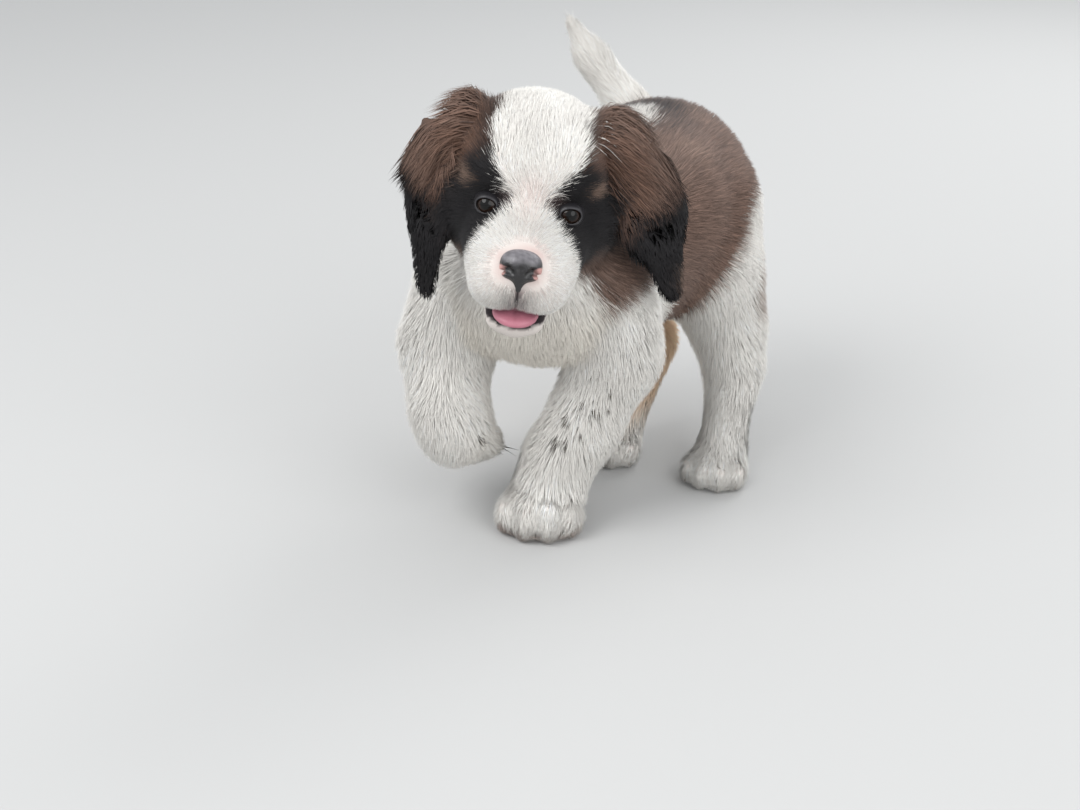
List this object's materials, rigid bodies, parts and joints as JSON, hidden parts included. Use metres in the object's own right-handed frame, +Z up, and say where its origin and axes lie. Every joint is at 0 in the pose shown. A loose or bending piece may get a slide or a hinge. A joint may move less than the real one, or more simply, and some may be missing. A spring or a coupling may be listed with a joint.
{
  "type": "saint bernard puppy",
  "caption": "Still life-size model of a young Saint Bernard in a bounding step, with pendant ears, open mouth, raised forepaw and swung tail.",
  "frame": {"origin": "middle of the bounding box on the floor, under the body", "axes": "+Z up, -Y the way the dog looks, +X its left side"},
  "size_m": [0.2456, 0.4296, 0.3387],
  "materials": {
    "white_coat": "soft dense coat, warm white",
    "brown_coat": "soft dense coat, grey brown with darker tips",
    "dark_coat": "short dense coat, black brown",
    "nose_leather": "moist pebbled skin, black",
    "eye": "clear gloss, dark brown",
    "mouth_pink": "moist soft skin, pink"
  },
  "bodies": {
    "root": {"torso": "brown_coat", "neck": "white_coat", "foreleg_left": "white_coat", "foreleg_right": "white_coat", "thigh_left": "white_coat", "thigh_right": "white_coat", "forepaw_left": "white_coat", "forepaw_right": "white_coat", "hindpaw_left": "white_coat", "hindpaw_right": "white_coat", "tail": "white_coat", "eye_left": "eye", "eye_right": "eye", "head": "dark_coat", "nose": "nose_leather", "tongue": "mouth_pink", "jaw": "white_coat", "ear_left": "dark_coat", "ear_right": "dark_coat"}
  },
  "joints": []
}
